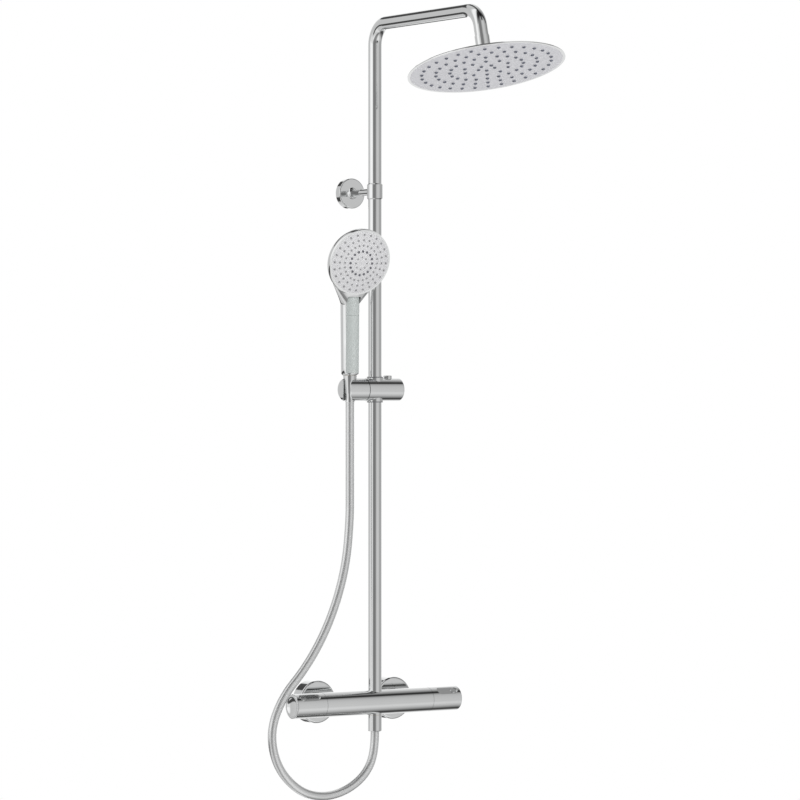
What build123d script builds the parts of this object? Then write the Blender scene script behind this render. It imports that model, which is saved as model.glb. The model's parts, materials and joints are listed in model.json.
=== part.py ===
from build123d import *
import os
from math import asin, atan2, cos, degrees, pi, radians, sin, sqrt

# Wall-hung thermostatic shower column: a mixer bar on two wall unions, a riser with a swivelling
# overhead arm, a ball-jointed rain head, and a handset in a slider on the riser.
# Millimetres. +Z is up, -Y faces the user and +X is the user's right. The origin is on the finished
# wall, midway between the two inlets.

os.makedirs("parts", exist_ok=True)

# ---- fits
running_fit = 0.05        # radial clearance where one piece turns or slides in another
clearance = 0.3           # between pieces that pass or seat loosely
sheet_wall = 1.5          # wall of the drawn covers

# ---- wall fixing
inlet_spacing = 150.0
wall_gap = 79.0           # wall to the axes of the riser, the mixer bar and the slider
inlet_stub_dia = 20.96    # G1/2
inlet_stub_length = 15.0
union_hex = 24.0
union_hex_length = 21.0
union_thread_dia = 26.4   # G3/4
union_thread_length = 16.0
waterway_dia = 15.0
filter_thickness = 2.0
inlet_nut_hex = 31.0
inlet_nut_length = 23.0
inlet_nut_engagement = 9.0
rosette_dia = 70.0
rosette_depth = 24.0
rosette_round = 3.5

# ---- mixer bar
bar_dia = 40.0
body_length = 208.0
boss_flange_dia = 25.4
boss_flange_thickness = 3.0
boss_neck_dia = 21.0
pocket_dia = 32.0
pocket_depth = 44.0
knob_length = 56.6
knob_gap = 0.4
knob_edge_round = 1.5
knob_cavity_dia = 35.2
knob_cavity_depth = 14.0
cap_seat_dia = 33.0
cap_seat_depth = 4.2
cap_thickness = 2.4
cap_dish = 1.4
cap_rim = 1.5
nose_dia = 20.0
nose_length = 8.0
stop_ring_dia = 30.0
stop_ring_thickness = 4.5
stop_notch = 5.0
spindle_dia = 9.0
spindle_grip = 16.0
spindle_depth = 14.0
scoop_angle = 48.0        # of the thumb scoop, up from the front
scoop_length = 40.0
scoop_width = 15.0
scoop_depth = 2.2
scoop_end_margin = 6.0
stop_button_dia = 10.0
stop_button_proud = 1.4
stop_button_depth = 7.0
stop_button_travel = 2.0
outlet_thread_dia = 20.6
outlet_length = 12.0
outlet_root = 10.0
outlet_boss = 0.4         # the bar's outlet boss below its underside
hose_nut_dia = 22.4
hose_nut_length = 26.5
hose_nut_chamfer = 0.8
hose_washer_thickness = 2.0

# ---- riser
riser_dia = 22.0
tube_wall = 1.5
riser_socket = 11.0
nipple_length = 34.0
swivel_height = 837.0     # joint between the lower riser and the arm, inside the bracket's sleeve
swivel_ring_thickness = 1.5
spigot_below = 30.0
spigot_above = 28.0
spigot_wall = 2.0
seal_section = 1.8
seal_inset = 6.0
seal_pitch = 9.0

# ---- wall bracket
sleeve_dia = 25.6
sleeve_length = 26.0
sleeve_chamfer = 1.6
stem_dia = 11.4
stem_foot_dia = 19.2
stem_flare_length = 16.0
bracket_cover_dia = 50.0
bracket_cover_depth = 12.0
bracket_cover_round = 2.2
bracket_plate_dia = 42.0
bracket_plate_thickness = 3.0
bracket_spigot_dia = 10.0
bracket_spigot_length = 16.0
bracket_screw_spacing = 30.0
bracket_screw_hole_dia = 4.6
grub_screw_dia = 4.0

# ---- overhead arm
arm_height = 1111.0
arm_reach = 293.0         # riser axis to the corner above the rain head
arm_bend_radius = 35.0
arm_drop = 45.0           # that corner to the end of the tube
head_tilt = 14.0          # of the rain head at rest, outwards from straight down

# ---- rain head, heights along its own axis from the spray face
head_drop = 52.5          # end of the arm to the spray face
collar_dia = 23.6
collar_length = 21.5
collar_chamfer = 1.5
arm_thread_dia = 18.8
arm_thread_length = 12.0
ball_height = 19.0
ball_dia = 18.0
ball_neck_dia = 10.0
ball_bore_dia = 7.0
seat_thickness = 1.3
seat_ring_from = 58.0     # polar angles of the seat ring and the seal, from the top of the ball
seat_ring_to = 82.0
ball_seal_from = 100.0
ball_seal_to = 132.0
ball_nut_dia = 36.0
ball_nut_top = 7.2        # above the ball's centre
ball_nut_chamfer = 1.5
boss_dia = 30.0
head_dia = 250.0
head_rim_height = 2.4
head_shoulder_dia = 96.0
head_shoulder_height = 5.6
head_back_height = 8.4
head_wall = 1.6
face_plate_dia = 242.0
face_plate_thickness = 1.2
nozzle_dia = 6.0
nozzle_height = 1.1
nozzle_taper = 22.0
nozzle_ring_pitch = 22.4
nozzle_first_ring = 13.4
nozzle_counts = (5, 10, 20, 25, 30)

# ---- slider on the riser
slider_height = 512.3
slider_dia = 37.5
slider_right = 47.0       # riser axis to the button's end of the slider
slider_seam = 20.6        # riser axis to the seam of the tilting holder
slider_end_round = 2.2
bushing_dia = 25.2
bushing_flange_dia = 26.0
bushing_flange = 1.4
bushing_length = 15.0
slider_boss_dia = 26.6
slider_boss_rise = 0.8    # above the top of the slider's round
release_x = 25.0
release_dia = 14.0
release_proud = 4.4
release_depth = 12.0
release_travel = 3.0
release_edge_round = 1.2

# ---- tilting holder
socket_x = 49.0           # riser axis to the handset's axis, on the user's left
holder_left = 64.0
holder_end_round = 7.0
holder_slot = 15.0
slot_turn = 38.0          # of the slot, from straight left towards the user
tilt_pin_dia = 16.0
tilt_pin_length = 6.0
tilt_washer_dia = 30.0
tilt_washer_thickness = 0.8
cone_top_dia = 22.6
cone_top = 22.6           # wide end of the hose cone above the slider's axis
cone_bottom_dia = 17.0
cone_bottom = 6.5         # narrow end below the slider's axis
ferrule_dia = 15.2
ferrule_end = 20.3        # end of the ferrule below the slider's axis

# ---- handset
handset_turn = 5.0        # of the handset at rest, from straight out towards the user's left
inlet_thread_dia = 18.6
inlet_thread_length = 14.0
handle_foot_dia = 29.2
handle_top_dia = 32.0
handle_length = 161.0
handle_foot_chamfer = 3.0
handle_top_round = 12.0
inlay_width = 24.0
inlay_floor = 7.6         # handle axis to the flat back of the inlay
inlay_start = 4.0         # above the handle's foot
select_length = 30.0
select_end = 128.0        # top of the select button above the handle's foot
select_travel = 1.5
spray_height = 183.3      # centre of the spray rim above the handle's foot
spray_forward = 35.0      # centre of the spray rim in front of the handle's axis
spray_tilt = 18.0
spray_rim_dia = 109.0
spray_body_dia = 111.0
spray_side = 5.0
spray_back = 17.0
spray_back_round = 12.0
spray_face_dia = 103.0
spray_face_rise = 5.3
spray_face_thickness = 2.4
spray_seat_depth = 4.0
neck_start = 116.0         # of the flare between the handle and the head, above the foot
neck_end = 31.0           # below the centre of the head, along its face
neck_step = 0.8           # from the handle's surface in to the start of the flare
neck_width = 88.0
neck_thickness = 14.0
neck_depth = 9.0          # of the flare's middle behind the rim
jet_dia = 2.6
jet_height = 0.7
jet_taper = 15.0
jet_rings = ((10.1, 8), (19.9, 16), (29.5, 24), (38.3, 24), (46.9, 24))

# ---- hose: corners of its route between its two ends, as it hangs
hose_dia = 14.0
hose_corners = [
    (-49, -79, 302),
    (-57, -81, 232),
    (-78, -86, 170),
    (-109, -92, 112),
    (-147, -96, 61),
    (-191, -97, 17),
    (-213, -95, -38),
    (-197, -91, -96),
    (-153, -86, -137),
    (-106, -83, -150),
    (-59, -80, -143),
    (-20, -79, -120),
    (0, -79, -84),
]

SIDES = (("left", -1), ("right", 1))
KNOBS = (("flow", -1), ("temperature", 1))

# Values that follow from those above
bar_r = bar_dia / 2
union_face = union_hex_length + union_thread_length
boss_face = union_face + filter_thickness
knob_inner = body_length / 2 + knob_gap
nut_bore = union_thread_dia + 2 * clearance
outlet_top = -bar_r + outlet_root
outlet_end = -bar_r - outlet_length
hose_nut_top = -bar_r - outlet_boss - clearance
hose_nut_end = hose_nut_top - hose_nut_length
riser_foot = bar_r - riser_socket
tube_bore = riser_dia - 2 * tube_wall
lower_riser_top = swivel_height - swivel_ring_thickness
arm_foot = swivel_height + clearance
spigot_dia = tube_bore - 2 * running_fit
cone_length = cone_top + cone_bottom
foot_height = slider_height + cone_top + clearance
hose_top = slider_height - ferrule_end
slider_r = slider_dia / 2
release_floor = slider_r - release_depth
boss_top = slider_r + slider_boss_rise
seat_inner_r = ball_dia / 2 + clearance
seat_outer_r = seat_inner_r + seat_thickness
cavity_r = seat_outer_r + clearance
thread_bore = inlet_thread_dia + 2 * running_fit


def level(z, x=0.0):
    """Horizontal plane at height z over the line of the riser, the bar and the slider."""
    return Plane(origin=(x, -wall_gap, z), x_dir=(1, 0, 0), z_dir=(0, 0, 1))


def facing_user(x, depth, z=0.0):
    """Plane parallel to the wall, at a distance of depth in front of it."""
    return Plane(origin=(x, -depth, z), x_dir=(1, 0, 0), z_dir=(0, -1, 0))


def across_bar(x, side=1, z=0.0):
    """Plane square to the bar's axis whose normal points to the given side."""
    return Plane(origin=(x, -wall_gap, z), x_dir=(0, 1, 0), z_dir=(side, 0, 0))


def knob_profile_plane(side):
    """Plane through the bar's axis: x runs outwards from the knob's inner end, y is the radius."""
    return Plane(origin=(side * knob_inner, -wall_gap, 0), x_dir=(side, 0, 0), z_dir=(0, 0, 1))


def knob_axis(side):
    return Axis((side * knob_inner, -wall_gap, 0), (side, 0, 0))


def save(builder, name):
    builder.part.label = name
    export_step(builder.part, f"parts/{name}.step")


# ============================================================ wall connections
for name, side in SIDES:
    x = side * inlet_spacing / 2

    # A union screws into the wall outlet and carries a G3/4 thread for the mixer's nut.
    with BuildPart() as wall_union:
        with BuildSketch(facing_user(x, -inlet_stub_length)):
            Circle(inlet_stub_dia / 2)
        extrude(amount=inlet_stub_length)
        with BuildSketch(facing_user(x, 0)):
            RegularPolygon(radius=union_hex / 2, side_count=6, major_radius=False)
        extrude(amount=union_hex_length)
        with BuildSketch(facing_user(x, union_hex_length)):
            Circle(union_thread_dia / 2)
        extrude(amount=union_thread_length)
        with BuildSketch(facing_user(x, -inlet_stub_length)):
            Circle(waterway_dia / 2)
        extrude(amount=inlet_stub_length + union_face, mode=Mode.SUBTRACT)
    save(wall_union, f"wall_union_{name}")

    with BuildPart() as inlet_filter:
        with BuildSketch(facing_user(x, union_face)):
            Circle(boss_flange_dia / 2)
            Circle(waterway_dia / 2, mode=Mode.SUBTRACT)
        extrude(amount=filter_thickness)
    save(inlet_filter, f"inlet_filter_{name}")

    # The captive nut has a full thread at the wall and a lip behind the mixer's flange.
    with BuildPart() as inlet_nut:
        with BuildSketch(facing_user(x, union_face - inlet_nut_engagement)):
            RegularPolygon(radius=inlet_nut_hex / 2, side_count=6, major_radius=False)
        extrude(amount=inlet_nut_length)
        with BuildSketch(facing_user(x, union_face - inlet_nut_engagement)):
            Circle(nut_bore / 2)
        extrude(
            amount=inlet_nut_engagement + filter_thickness + boss_flange_thickness + clearance,
            mode=Mode.SUBTRACT,
        )
        with BuildSketch(facing_user(x, union_face - inlet_nut_engagement)):
            Circle(boss_neck_dia / 2 + clearance)
        extrude(amount=inlet_nut_length, mode=Mode.SUBTRACT)
    save(inlet_nut, f"inlet_nut_{name}")

    # A drawn cover hides the union. Its open back lies on the wall.
    with BuildPart() as rosette:
        with BuildSketch(facing_user(x, 0)):
            Circle(rosette_dia / 2)
        extrude(amount=rosette_depth)
        fillet(rosette.faces().sort_by(Axis.Y)[0].edges(), rosette_round)
        offset(amount=-sheet_wall, openings=rosette.faces().sort_by(Axis.Y)[-1])
        with BuildSketch(facing_user(x, 0)):
            Circle(union_thread_dia / 2 + clearance)
        extrude(amount=rosette_depth, mode=Mode.SUBTRACT)
    save(rosette, f"rosette_{name}")

# ============================================================ mixer bar
with BuildPart() as mixer_body:
    with BuildSketch(across_bar(-body_length / 2)):
        Circle(bar_r)
    extrude(amount=body_length)
    for _, side in SIDES:
        x = side * inlet_spacing / 2
        with BuildSketch(facing_user(x, boss_face)):
            Circle(boss_flange_dia / 2)
        extrude(amount=boss_flange_thickness)
        with BuildSketch(facing_user(x, boss_face)):
            Circle(boss_neck_dia / 2)
        extrude(amount=wall_gap - boss_face)
        with BuildSketch(across_bar(side * body_length / 2, -side)):
            Circle(pocket_dia / 2)
        extrude(amount=pocket_depth, mode=Mode.SUBTRACT)
        with BuildSketch(facing_user(x, boss_face)):
            Circle(waterway_dia / 2)
        extrude(amount=wall_gap - boss_face - pocket_dia / 4, mode=Mode.SUBTRACT)
    with BuildSketch(level(-bar_r - outlet_boss)):
        Circle(hose_nut_dia / 2)
    extrude(amount=outlet_boss + outlet_root)
    with BuildSketch(level(riser_foot)):
        Circle(riser_dia / 2 + running_fit)
    extrude(amount=riser_socket, mode=Mode.SUBTRACT)
    with BuildSketch(level(outlet_top)):
        Circle(outlet_thread_dia / 2 + running_fit)
    extrude(amount=-outlet_root - outlet_boss, mode=Mode.SUBTRACT)
    with BuildSketch(level(outlet_top)):
        Circle(waterway_dia / 2)
    extrude(amount=riser_foot - outlet_top, mode=Mode.SUBTRACT)
save(mixer_body, "mixer_body")

# The outlet nipple screws into the bar's underside. The hose's nut covers its thread.
with BuildPart() as outlet_nipple:
    with BuildSketch(level(outlet_end)):
        Circle(outlet_thread_dia / 2)
        Circle(waterway_dia / 2, mode=Mode.SUBTRACT)
    extrude(amount=outlet_length + outlet_root)
save(outlet_nipple, "outlet_nipple")

with BuildPart() as hose_washer:
    with BuildSketch(level(outlet_end)):
        Circle(outlet_thread_dia / 2)
        Circle(hose_dia / 4, mode=Mode.SUBTRACT)
    extrude(amount=-hose_washer_thickness)
save(hose_washer, "hose_washer")

with BuildPart() as hose_nut:
    with BuildSketch(level(hose_nut_end)):
        Circle(hose_nut_dia / 2)
    extrude(amount=hose_nut_length)
    chamfer(hose_nut.faces().sort_by(Axis.Z)[0].edges(), hose_nut_chamfer)
    with BuildSketch(level(outlet_end - hose_washer_thickness)):
        Circle(outlet_thread_dia / 2 + running_fit)
    extrude(amount=hose_nut_top - outlet_end + hose_washer_thickness, mode=Mode.SUBTRACT)
    with BuildSketch(level(hose_nut_end)):
        Circle(hose_dia / 4)
    extrude(amount=hose_nut_length, mode=Mode.SUBTRACT)
save(hose_nut, "hose_nut")

# ============================================================ the two controls on the bar's ends
scoop_centre = knob_length - scoop_end_margin - scoop_length / 2
button_centre = knob_length - scoop_end_margin - scoop_width / 2
scoop_floor = bar_r - scoop_depth
button_foot = scoop_floor - stop_button_depth
button_pocket = button_foot - stop_button_travel - clearance
cap_seat = knob_inner + knob_length - cap_seat_depth
cap_r = cap_seat_dia / 2 - running_fit
dish_r = ((cap_r - cap_rim) ** 2 + cap_dish**2) / (2 * cap_dish)

for name, side in KNOBS:

    def radial(distance, along, side=side):
        """Plane square to the scoop's direction, at a distance from the bar's axis."""
        up = Vector(0, -cos(radians(scoop_angle)), sin(radians(scoop_angle)))
        origin = Vector(side * (knob_inner + along), -wall_gap, 0) + up * distance
        return Plane(origin=origin, x_dir=(1, 0, 0), z_dir=up)

    # Cartridge: fills its pocket in the bar. Its nose guides the spindle and carries the stop ring.
    with BuildPart() as cartridge:
        with BuildSketch(knob_profile_plane(side)):
            with BuildLine():
                Polyline(
                    (-knob_gap - pocket_depth, 0),
                    (-knob_gap - pocket_depth, pocket_dia / 2 - running_fit),
                    (-knob_gap, pocket_dia / 2 - running_fit),
                    (-knob_gap, nose_dia / 2),
                    (nose_length, nose_dia / 2),
                    (nose_length, spindle_dia / 2 + running_fit),
                    (-spindle_depth, spindle_dia / 2 + running_fit),
                    (-spindle_depth, 0),
                    close=True,
                )
            make_face()
        revolve(axis=knob_axis(side))
    save(cartridge, f"{name}_cartridge")

    # Notched plastic ring that sets how far the control turns before its button is pressed.
    with BuildPart() as stop_ring:
        with BuildSketch(across_bar(side * (knob_inner - knob_gap), side)):
            Circle(stop_ring_dia / 2)
            Circle(nose_dia / 2 + running_fit, mode=Mode.SUBTRACT)
            with PolarLocations(stop_ring_dia / 2, 2):
                Rectangle(stop_notch, stop_notch, mode=Mode.SUBTRACT)
        extrude(amount=stop_ring_thickness)
    save(stop_ring, f"{name}_stop_ring")

    with BuildPart() as spindle:
        with BuildSketch(across_bar(side * (knob_inner - spindle_depth + clearance), side)):
            Circle(spindle_dia / 2)
        extrude(amount=spindle_depth + knob_cavity_depth + spindle_grip - 2 * clearance)
    save(spindle, f"{name}_spindle")

    # Knob: a sleeve as thick as the bar, with a hub on the spindle and a seat for the end cap.
    with BuildPart() as knob:
        with BuildSketch(knob_profile_plane(side)):
            with BuildLine():
                Polyline(
                    (0, knob_cavity_dia / 2),
                    (0, bar_r),
                    (knob_length, bar_r),
                    (knob_length, cap_seat_dia / 2),
                    (knob_length - cap_seat_depth, cap_seat_dia / 2),
                    (knob_length - cap_seat_depth, 0),
                    (knob_cavity_depth + spindle_grip, 0),
                    (knob_cavity_depth + spindle_grip, spindle_dia / 2 + running_fit),
                    (knob_cavity_depth, spindle_dia / 2 + running_fit),
                    (knob_cavity_depth, knob_cavity_dia / 2),
                    close=True,
                )
            make_face()
        revolve(axis=knob_axis(side))
        ends = knob.faces().filter_by(Axis.X).sort_by(Axis.X, reverse=side > 0)
        rim = ends[0].edges().sort_by(SortBy.LENGTH)[-1]
        fillet(rim, knob_edge_round)
        with BuildSketch(radial(scoop_floor, scoop_centre)):
            SlotOverall(scoop_length, scoop_width)
        extrude(amount=2 * scoop_depth, mode=Mode.SUBTRACT)
        with BuildSketch(radial(button_pocket, button_centre)):
            Circle(stop_button_dia / 2 + running_fit)
        extrude(amount=scoop_floor - button_pocket, mode=Mode.SUBTRACT)
    save(knob, f"{name}_knob")

    with BuildPart() as stop_button:
        with BuildSketch(radial(button_foot, button_centre)):
            Circle(stop_button_dia / 2)
        extrude(amount=stop_button_depth + stop_button_proud)
        fillet(stop_button.edges().sort_by(Axis.Z)[-1], stop_button_proud / 2)
    save(stop_button, f"{name}_button")

    # Dished cap in the knob's end.
    with BuildPart() as end_cap:
        with BuildSketch(across_bar(side * cap_seat, side)):
            Circle(cap_r)
        extrude(amount=cap_thickness)
        with Locations((side * (cap_seat + cap_thickness - cap_dish + dish_r), -wall_gap, 0)):
            Sphere(dish_r, mode=Mode.SUBTRACT)
    save(end_cap, f"{name}_cap")

# ============================================================ riser
with BuildPart() as riser_tube:
    with BuildSketch(level(riser_foot)):
        Circle(riser_dia / 2)
        Circle(tube_bore / 2, mode=Mode.SUBTRACT)
    extrude(amount=lower_riser_top - riser_foot)
save(riser_tube, "riser_tube")

# Threaded nipple inside the foot of the riser, which ties it to the bar.
with BuildPart() as riser_nipple:
    with BuildSketch(level(riser_foot)):
        Circle(tube_bore / 2 - running_fit)
        Circle(waterway_dia / 2, mode=Mode.SUBTRACT)
    extrude(amount=nipple_length)
save(riser_nipple, "riser_nipple")

with BuildPart() as swivel_ring:
    with BuildSketch(level(lower_riser_top)):
        Circle(riser_dia / 2)
        Circle(tube_bore / 2, mode=Mode.SUBTRACT)
    extrude(amount=swivel_ring_thickness)
save(swivel_ring, "swivel_ring")

# Spigot fixed in the lower riser. The arm's tube turns on its upper half, over two seals.
seal_heights = [swivel_height + spigot_above - seal_inset - seal_pitch * n for n in range(2)]
with BuildPart() as swivel_spigot:
    with BuildSketch(level(swivel_height - spigot_below)):
        Circle(spigot_dia / 2)
        Circle(spigot_dia / 2 - seal_section / 2 - spigot_wall, mode=Mode.SUBTRACT)
    extrude(amount=spigot_below + spigot_above)
    for z in seal_heights:
        with BuildSketch(level(z - seal_section / 2)):
            Circle(spigot_dia / 2)
            Circle((spigot_dia - seal_section) / 2, mode=Mode.SUBTRACT)
        extrude(amount=seal_section, mode=Mode.SUBTRACT)
save(swivel_spigot, "swivel_spigot")

with BuildPart() as spigot_seals:
    for z in seal_heights:
        with BuildSketch(level(z - seal_section / 2)):
            Circle(spigot_dia / 2)
            Circle((spigot_dia - seal_section) / 2, mode=Mode.SUBTRACT)
        extrude(amount=seal_section)
save(spigot_seals, "spigot_seals")

# ============================================================ wall bracket
# Casting: a sleeve round the joint of the riser, on a stem that flares towards the wall.
stem_back = bracket_plate_thickness
flare_front = bracket_cover_depth + stem_flare_length
with BuildPart() as bracket_arm:
    with BuildSketch(level(swivel_height - sleeve_length / 2)):
        Circle(sleeve_dia / 2)
    extrude(amount=sleeve_length)
    chamfer(bracket_arm.edges().filter_by(GeomType.CIRCLE), sleeve_chamfer)
    with BuildSketch(Plane(origin=(0, 0, swivel_height), x_dir=(1, 0, 0), z_dir=(0, 0, 1))):
        with BuildLine():
            back = Polyline(
                (0, -wall_gap),
                (0, -stem_back),
                (stem_foot_dia / 2, -stem_back),
                (stem_foot_dia / 2, -bracket_cover_depth),
            )
            flare = Spline(
                back @ 1,
                (stem_dia / 2, -flare_front),
                tangents=[(-0.8, -1), (0, -1)],
            )
            Polyline(flare @ 1, (stem_dia / 2, -wall_gap), back @ 0)
        make_face()
    revolve(axis=Axis((0, 0, swivel_height), (0, 1, 0)))
    with BuildSketch(level(swivel_height - sleeve_length / 2)):
        Circle(riser_dia / 2 + running_fit)
    extrude(amount=sleeve_length, mode=Mode.SUBTRACT)
    with BuildSketch(facing_user(0, stem_back, swivel_height)):
        Circle(bracket_spigot_dia / 2 + running_fit)
    extrude(amount=bracket_spigot_length, mode=Mode.SUBTRACT)
    with BuildSketch(Plane(origin=(0, -bracket_cover_depth - grub_screw_dia, swivel_height))):
        Circle(grub_screw_dia / 2 + running_fit)
    extrude(amount=-stem_foot_dia, mode=Mode.SUBTRACT)
save(bracket_arm, "bracket_arm")

with BuildPart() as bracket_plate:
    with BuildSketch(facing_user(0, 0, swivel_height)):
        Circle(bracket_plate_dia / 2)
        with Locations((-bracket_screw_spacing / 2, 0), (bracket_screw_spacing / 2, 0)):
            Circle(bracket_screw_hole_dia / 2, mode=Mode.SUBTRACT)
    extrude(amount=bracket_plate_thickness)
    with BuildSketch(facing_user(0, 0, swivel_height)):
        Circle(bracket_spigot_dia / 2)
    extrude(amount=bracket_plate_thickness + bracket_spigot_length - clearance)
save(bracket_plate, "bracket_plate")

with BuildPart() as bracket_screw:
    with BuildSketch(
        Plane(
            origin=(
                0,
                -bracket_cover_depth - grub_screw_dia,
                swivel_height - bracket_spigot_dia / 2 - running_fit,
            )
        )
    ):
        Circle(grub_screw_dia / 2)
    extrude(amount=-grub_screw_dia / 2)
save(bracket_screw, "bracket_screw")

with BuildPart() as bracket_cover:
    with BuildSketch(facing_user(0, 0, swivel_height)):
        Circle(bracket_cover_dia / 2)
    extrude(amount=bracket_cover_depth)
    fillet(bracket_cover.faces().sort_by(Axis.Y)[0].edges(), bracket_cover_round)
    offset(amount=-sheet_wall, openings=bracket_cover.faces().sort_by(Axis.Y)[-1])
    with BuildSketch(facing_user(0, 0, swivel_height)):
        Circle(stem_foot_dia / 2 + running_fit)
    extrude(amount=bracket_cover_depth, mode=Mode.SUBTRACT)
save(bracket_cover, "bracket_cover")

# ============================================================ overhead arm
tilt = radians(head_tilt)
head_up = Vector(0, sin(tilt), cos(tilt))
arm_corner = Vector(0, -wall_gap - arm_reach, arm_height)
arm_end = arm_corner - head_up * arm_drop
face_centre = arm_end - head_up * head_drop
ball_centre = face_centre + head_up * ball_height
head_axis = Axis(face_centre, head_up)


def head_level(height):
    """Plane square to the rain head's axis, at a height above its spray face."""
    return Plane(origin=face_centre + head_up * height, x_dir=(1, 0, 0), z_dir=head_up)


def head_section(height=0.0):
    """Plane through the rain head's axis: x is the radius and y the height above the origin."""
    return Plane(
        origin=face_centre + head_up * height,
        x_dir=(1, 0, 0),
        z_dir=Vector(1, 0, 0).cross(head_up),
    )


with BuildPart() as shower_arm:
    with BuildLine():
        FilletPolyline(
            (0, -wall_gap, arm_foot),
            (0, -wall_gap, arm_height),
            arm_corner,
            arm_end,
            radius=arm_bend_radius,
        )
    with BuildSketch(level(arm_foot)):
        Circle(riser_dia / 2)
        Circle(tube_bore / 2, mode=Mode.SUBTRACT)
    sweep()
save(shower_arm, "shower_arm")

# Collar, neck and ball in one turned piece, screwed into the end of the arm.
with BuildPart() as ball_stem:
    with BuildSketch(head_level(head_drop - collar_length)):
        Circle(collar_dia / 2)
    extrude(amount=collar_length)
    chamfer(ball_stem.faces().sort_by(Axis.Z)[0].edges(), collar_chamfer)
    with BuildSketch(head_level(head_drop)):
        Circle(arm_thread_dia / 2)
    extrude(amount=arm_thread_length)
    with BuildSketch(head_level(ball_height)):
        Circle(ball_neck_dia / 2)
    extrude(amount=head_drop - collar_length - ball_height)
    with Locations(ball_centre):
        Sphere(ball_dia / 2)
    with BuildSketch(head_level(ball_height - ball_dia / 2)):
        Circle(ball_bore_dia / 2)
    extrude(amount=head_drop + arm_thread_length, mode=Mode.SUBTRACT)
save(ball_stem, "ball_stem")

# ============================================================ rain head


def seat_section(first_angle, last_angle):
    """Slice of the spherical gap round the ball, between two angles from its top."""
    reach = 2 * seat_outer_r
    rays = [
        (reach * sin(radians(a)), reach * cos(radians(a)))
        for a in (first_angle, (first_angle + last_angle) / 2, last_angle)
    ]
    Circle(seat_outer_r)
    Circle(seat_inner_r, mode=Mode.SUBTRACT)
    with BuildLine() as wedge:
        Polyline((0, 0), *rays, close=True)
    make_face(wedge.edges(), mode=Mode.INTERSECT)


with BuildPart() as ball_seat_ring:
    with BuildSketch(head_section(ball_height)):
        seat_section(seat_ring_from, seat_ring_to)
    revolve(axis=head_axis)
save(ball_seat_ring, "ball_seat_ring")

with BuildPart() as ball_seal:
    with BuildSketch(head_section(ball_height)):
        seat_section(ball_seal_from, ball_seal_to)
    revolve(axis=head_axis)
save(ball_seal, "ball_seal")

# The nut screws down over the head's boss and holds the ball in.
nut_foot = head_back_height + clearance
with BuildPart() as ball_nut:
    with BuildSketch(head_level(nut_foot)):
        Circle(ball_nut_dia / 2)
    extrude(amount=ball_height + ball_nut_top - nut_foot)
    chamfer(ball_nut.faces().sort_by(Axis.Z)[-1].edges(), ball_nut_chamfer)
    with BuildSketch(head_level(nut_foot)):
        Circle(boss_dia / 2 + running_fit)
    extrude(amount=ball_height - nut_foot, mode=Mode.SUBTRACT)
    with Locations(ball_centre):
        Sphere(cavity_r, mode=Mode.SUBTRACT)
save(ball_nut, "ball_nut")

# Back of the head: a thin dished disc that rises to a boss under the ball.
plate_top = face_plate_thickness
with BuildPart() as rain_head_cover:
    with BuildSketch(head_section()):
        with BuildLine():
            Polyline(
                (0, head_shoulder_height - head_wall),
                (head_shoulder_dia / 2, head_shoulder_height - head_wall),
                (face_plate_dia / 2 - sheet_wall, plate_top),
                (face_plate_dia / 2 + running_fit, plate_top),
                (face_plate_dia / 2 + running_fit, 0),
                (head_dia / 2, 0),
                (head_dia / 2, head_rim_height / 2),
                (head_dia / 2 - head_rim_height / 2, head_rim_height),
                (head_shoulder_dia / 2, head_shoulder_height),
                (ball_nut_dia / 2 + clearance, head_back_height),
                (boss_dia / 2, head_back_height),
                (boss_dia / 2, ball_height - clearance),
                (0, ball_height - clearance),
                close=True,
            )
        make_face()
    revolve(axis=head_axis)
    with Locations(ball_centre):
        Sphere(cavity_r, mode=Mode.SUBTRACT)
    with BuildSketch(head_level(0)):
        Circle(ball_bore_dia / 2)
    extrude(amount=ball_height, mode=Mode.SUBTRACT)
save(rain_head_cover, "rain_head_cover")

with BuildPart() as rain_head_face:
    with BuildSketch(head_level(0)):
        Circle(face_plate_dia / 2)
    extrude(amount=face_plate_thickness)
save(rain_head_face, "rain_head_face")

# Soft nozzles in five rings. Each ring has one nozzle on the outward side of the arm.
with BuildPart() as rain_nozzles:
    with BuildSketch(head_level(0)):
        for ring, count in enumerate(nozzle_counts):
            radius = nozzle_first_ring + ring * nozzle_ring_pitch
            with PolarLocations(radius, count, start_angle=-90):
                RegularPolygon(radius=nozzle_dia / 2, side_count=8)
    extrude(amount=-nozzle_height, taper=nozzle_taper)
save(rain_nozzles, "rain_nozzles")

# ============================================================ slider
# Two flanged bushings slide on the riser and let the slider turn round it.
with BuildPart() as slider_bushings:
    for way in (1, -1):
        with BuildSketch(level(slider_height + way * (boss_top - bushing_length))):
            Circle(bushing_dia / 2)
            Circle(riser_dia / 2 + running_fit, mode=Mode.SUBTRACT)
        extrude(amount=way * bushing_length)
        with BuildSketch(level(slider_height + way * (boss_top + running_fit))):
            Circle(bushing_flange_dia / 2)
            Circle(riser_dia / 2 + running_fit, mode=Mode.SUBTRACT)
        extrude(amount=way * (bushing_flange - running_fit))
        with BuildSketch(level(slider_height + way * boss_top)):
            Circle(bushing_dia / 2)
            Circle(riser_dia / 2 + running_fit, mode=Mode.SUBTRACT)
        extrude(amount=way * running_fit)
save(slider_bushings, "slider_bushings")

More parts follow.
